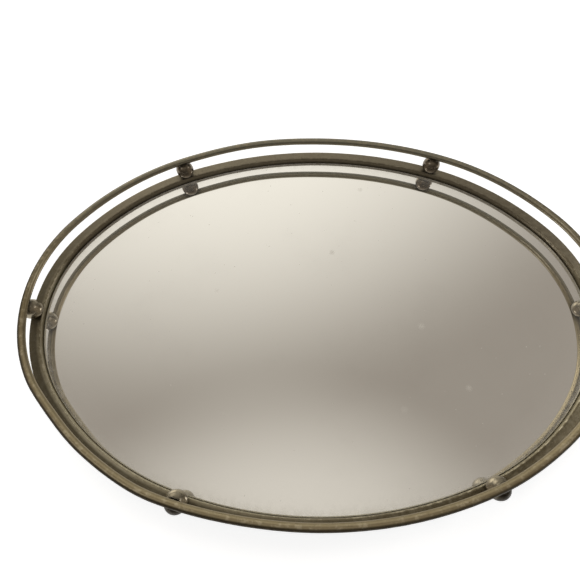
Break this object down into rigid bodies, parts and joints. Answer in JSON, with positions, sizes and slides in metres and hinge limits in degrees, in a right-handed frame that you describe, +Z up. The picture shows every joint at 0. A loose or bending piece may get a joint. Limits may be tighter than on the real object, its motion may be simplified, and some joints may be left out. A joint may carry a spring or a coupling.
{
  "type": "vanity tray",
  "caption": "Oval mirrored vanity tray. A metal ring holds the mirror, balls standing on the ring carry a gallery rail, and ball feet lift it off the dresser.",
  "frame": {"origin": "centre of the oval, on the surface that the foot pads rest on", "axes": "+X along the tray's long axis, +Y to the back, +Z up out of the mirror"},
  "size_m": [0.308, 0.2136, 0.0296],
  "materials": {
    "ring_metal": "antique brass, brushed and worn",
    "rail_metal": "antique brass, worn to a light gold on its top",
    "ball_metal": "dark polished antique brass",
    "foot_metal": "dark antique brass",
    "mirror_glass": "silvered float glass with a ground edge",
    "plate_paint": "black satin paint on sheet steel",
    "felt": "black felt",
    "board": "grey chipboard",
    "tape": "double-sided foam tape",
    "screw_steel": "zinc-plated steel"
  },
  "bodies": {
    "root": {"base_ring": "ring_metal", "gallery_rail": "rail_metal", "mirror": "mirror_glass", "mounting_tape": "tape", "backing_board": "board", "base_plate": "plate_paint", "felt_underlay": "felt", "plate_screws": "screw_steel", "gallery_ball_right": "ball_metal", "gallery_ball_back_right": "ball_metal", "gallery_ball_back_left": "ball_metal", "gallery_ball_left": "ball_metal", "gallery_ball_front_left": "ball_metal", "gallery_ball_front_right": "ball_metal", "ball_pin_right": "screw_steel", "ball_pin_back_right": "screw_steel", "ball_pin_back_left": "screw_steel", "ball_pin_left": "screw_steel", "ball_pin_front_left": "screw_steel", "ball_pin_front_right": "screw_steel", "foot_back_right": "foot_metal", "foot_back_left": "foot_metal", "foot_front_left": "foot_metal", "foot_front_right": "foot_metal", "foot_screw_back_right": "screw_steel", "foot_screw_back_left": "screw_steel", "foot_screw_front_left": "screw_steel", "foot_screw_front_right": "screw_steel", "foot_pad_back_right": "felt", "foot_pad_back_left": "felt", "foot_pad_front_left": "felt", "foot_pad_front_right": "felt"}
  },
  "joints": []
}
